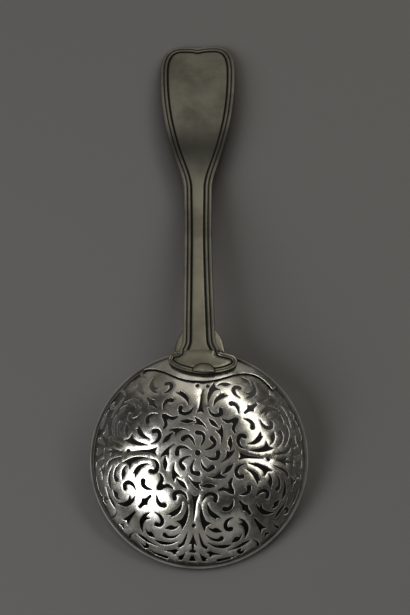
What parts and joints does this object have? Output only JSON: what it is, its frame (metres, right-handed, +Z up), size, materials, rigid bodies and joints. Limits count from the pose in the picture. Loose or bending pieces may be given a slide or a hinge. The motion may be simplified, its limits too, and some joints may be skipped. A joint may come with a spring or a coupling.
{
  "type": "sifter spoon",
  "caption": "Long-handled sifter spoon with a round domed bowl pierced with scrollwork, a plain rim and a fiddle-shaped handle bordered with threads.",
  "frame": {"origin": "on the surface that the spoon lies on face down, under the middle of its length and width", "axes": "+Y from the bowl to the handle's end, +Z up from the surface, towards the bowl's domed back"},
  "size_m": [0.073, 0.207, 0.024],
  "materials": {
    "bowl_silver": "polished silver sheet with worn highlights and dark patina round the piercing",
    "rim_silver": "polished silver band, fine wear scratches",
    "heel_silver": "polished silver, patina in the grooves between threads",
    "handle_silver": "polished silver with a soft hand-worn sheen and patina in the thread grooves"
  },
  "bodies": {
    "root": {"bowl_sifter": "bowl_silver", "rim_frame": "rim_silver", "heel_plate": "heel_silver", "handle": "handle_silver"}
  },
  "joints": []
}
